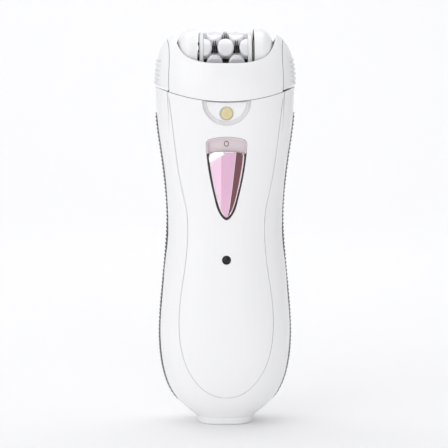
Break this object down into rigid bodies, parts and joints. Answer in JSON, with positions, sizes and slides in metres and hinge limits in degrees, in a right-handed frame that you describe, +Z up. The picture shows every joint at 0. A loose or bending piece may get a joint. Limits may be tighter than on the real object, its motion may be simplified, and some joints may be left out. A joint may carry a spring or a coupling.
{
  "type": "epilator",
  "caption": "Cordless epilator: a waisted grip with a thumb slider and lamp, and a lift-off head that carries a rotating tweezer drum.",
  "frame": {"origin": "centre of the charging socket's mouth, in the plane of the flat foot", "axes": "+Z up along the grip to the head, -Y the front with the slider, +X to the right of the front"},
  "size_m": [0.0538, 0.0388, 0.15],
  "materials": {
    "front_housing": "gloss white",
    "rear_housing": "gloss white",
    "housing_screws": "zinc plated",
    "front_panel": "high gloss white",
    "side_strips": "ribbed satin grey",
    "foot_cap": "satin white",
    "charging_socket": "moulded black",
    "switch_bezel": "pinkish grey, satin",
    "slide_switch": "tinned steel",
    "lamp_window": "frosted clear",
    "lamp_reflector": "white",
    "lamp_led": "pale yellow epoxy",
    "indicator_led": "smoked lens",
    "main_board": "solder mask",
    "board_parts": "moulded black",
    "battery_cells": "shrink sleeve",
    "battery_tray": "moulded",
    "battery_straps": "nickel strip",
    "motor_can": "zinc plated",
    "motor_end_bell": "moulded black",
    "motor_terminals": "bright",
    "motor_plate": "stamped",
    "motor_screws": "zinc plated",
    "reduction_axle": "ground",
    "neck_collar": "satin white",
    "latch_spring_right": "spring steel",
    "latch_spring_left": "spring steel",
    "switch_slider": "metallic pink",
    "switch_knob": "moulded black",
    "motor_shaft": "ground",
    "motor_pinion": "hobbed",
    "reduction_gear": "acetal",
    "head_front_cover": "gloss white",
    "head_rear_cover": "gloss white",
    "head_chassis": "satin light grey",
    "head_screws": "zinc plated",
    "cheek_caps": "gloss white",
    "drum_bushes": "sintered bronze",
    "pressure_cam": "acetal",
    "idler_axle": "ground",
    "button_spring_right": "spring wire",
    "button_spring_left": "spring wire",
    "idler_gear": "acetal",
    "release_button_right": "gloss white, ribbed",
    "release_button_left": "gloss white, ribbed",
    "drum_core": "moulded black",
    "drum_pads": "pearl grey",
    "drum_flanges": "white",
    "fixed_blades": "hardened steel",
    "drum_axle": "ground",
    "drum_gear": "acetal",
    "pinch_slide_1": "hardened steel",
    "pinch_slide_2": "hardened steel",
    "pinch_slide_3": "hardened steel",
    "pinch_slide_4": "hardened steel",
    "pinch_slide_5": "hardened steel",
    "pinch_slide_6": "hardened steel",
    "pinch_slide_7": "hardened steel",
    "pinch_slide_8": "hardened steel"
  },
  "bodies": {
    "grip": {"front_housing": "front_housing", "rear_housing": "rear_housing", "housing_screws": "housing_screws", "front_panel": "front_panel", "side_strips": "side_strips", "foot_cap": "foot_cap", "charging_socket": "charging_socket", "switch_bezel": "switch_bezel", "slide_switch": "slide_switch", "lamp_window": "lamp_window", "lamp_reflector": "lamp_reflector", "lamp_led": "lamp_led", "indicator_led": "indicator_led", "main_board": "main_board", "board_parts": "board_parts", "battery_cells": "battery_cells", "battery_tray": "battery_tray", "battery_straps": "battery_straps", "motor_can": "motor_can", "motor_end_bell": "motor_end_bell", "motor_terminals": "motor_terminals", "motor_plate": "motor_plate", "motor_screws": "motor_screws", "reduction_axle": "reduction_axle", "neck_collar": "neck_collar", "latch_spring_right": "latch_spring_right", "latch_spring_left": "latch_spring_left"},
    "switch": {"switch_slider": "switch_slider", "switch_knob": "switch_knob"},
    "rotor": {"motor_shaft": "motor_shaft", "motor_pinion": "motor_pinion"},
    "reduction": {"reduction_gear": "reduction_gear"},
    "head": {"head_front_cover": "head_front_cover", "head_rear_cover": "head_rear_cover", "head_chassis": "head_chassis", "head_screws": "head_screws", "cheek_caps": "cheek_caps", "drum_bushes": "drum_bushes", "pressure_cam": "pressure_cam", "idler_axle": "idler_axle", "button_spring_right": "button_spring_right", "button_spring_left": "button_spring_left"},
    "idler": {"idler_gear": "idler_gear"},
    "button_right": {"release_button_right": "release_button_right"},
    "button_left": {"release_button_left": "release_button_left"},
    "drum": {"drum_core": "drum_core", "drum_pads": "drum_pads", "drum_flanges": "drum_flanges", "fixed_blades": "fixed_blades", "drum_axle": "drum_axle", "drum_gear": "drum_gear"},
    "pinch_1": {"pinch_slide_1": "pinch_slide_1"},
    "pinch_2": {"pinch_slide_2": "pinch_slide_2"},
    "pinch_3": {"pinch_slide_3": "pinch_slide_3"},
    "pinch_4": {"pinch_slide_4": "pinch_slide_4"},
    "pinch_5": {"pinch_slide_5": "pinch_slide_5"},
    "pinch_6": {"pinch_slide_6": "pinch_slide_6"},
    "pinch_7": {"pinch_slide_7": "pinch_slide_7"},
    "pinch_8": {"pinch_slide_8": "pinch_slide_8"}
  },
  "joints": [
    {"name": "head_lift", "type": "slide", "parent": "grip", "child": "head", "axis": [0, 0, 1], "range_m": [0, 0.03], "deforming": ["latch_spring_right", "latch_spring_left"]},
    {"name": "release_right", "type": "slide", "parent": "head", "child": "button_right", "axis": [-1, 0, 0], "range_m": [0, 0.001], "stiffness_N_per_m": 900, "springref_m": -0.001, "deforming": ["button_spring_right", "latch_spring_right"]},
    {"name": "release_left", "type": "slide", "parent": "head", "child": "button_left", "axis": [1, 0, 0], "range_m": [0, 0.001], "stiffness_N_per_m": 900, "springref_m": -0.001, "deforming": ["button_spring_left", "latch_spring_left"]},
    {"name": "switch_slide", "type": "slide", "parent": "grip", "child": "switch", "axis": [0, 0, 1], "range_m": [0, 0.003]},
    {"name": "drum_spin", "type": "hinge", "parent": "head", "child": "drum", "pos_m": [0, 0, 0.1395], "axis": [1, 0, 0], "continuous": true},
    {"name": "idler_spin", "type": "hinge", "parent": "head", "child": "idler", "pos_m": [0.014, 0, 0.1265], "axis": [1, 0, 0], "continuous": true},
    {"name": "reduction_spin", "type": "hinge", "parent": "grip", "child": "reduction", "pos_m": [0.014, 0, 0.1175], "axis": [1, 0, 0], "continuous": true},
    {"name": "motor_spin", "type": "hinge", "parent": "grip", "child": "rotor", "pos_m": [0, 0.0025, 0.10576], "axis": [1, 0, 0], "continuous": true},
    {"name": "pinch_1_slide", "type": "slide", "parent": "drum", "child": "pinch_1", "axis": [-1, 0, 0], "range_m": [0, 0.0004]},
    {"name": "pinch_2_slide", "type": "slide", "parent": "drum", "child": "pinch_2", "axis": [-1, 0, 0], "range_m": [0, 0.0004]},
    {"name": "pinch_3_slide", "type": "slide", "parent": "drum", "child": "pinch_3", "axis": [-1, 0, 0], "range_m": [0, 0.0004]},
    {"name": "pinch_4_slide", "type": "slide", "parent": "drum", "child": "pinch_4", "axis": [-1, 0, 0], "range_m": [0, 0.0004]},
    {"name": "pinch_5_slide", "type": "slide", "parent": "drum", "child": "pinch_5", "axis": [-1, 0, 0], "range_m": [0, 0.0004]},
    {"name": "pinch_6_slide", "type": "slide", "parent": "drum", "child": "pinch_6", "axis": [-1, 0, 0], "range_m": [0, 0.0004]},
    {"name": "pinch_7_slide", "type": "slide", "parent": "drum", "child": "pinch_7", "axis": [-1, 0, 0], "range_m": [0, 0.0004]},
    {"name": "pinch_8_slide", "type": "slide", "parent": "drum", "child": "pinch_8", "axis": [-1, 0, 0], "range_m": [0, 0.0004]}
  ],
  "couplings": [
    {"joint": "idler_spin", "follows": "drum_spin", "ratio": -1.1667},
    {"joint": "reduction_spin", "follows": "drum_spin", "ratio": 2.3333},
    {"joint": "motor_spin", "follows": "drum_spin", "ratio": -7}
  ]
}
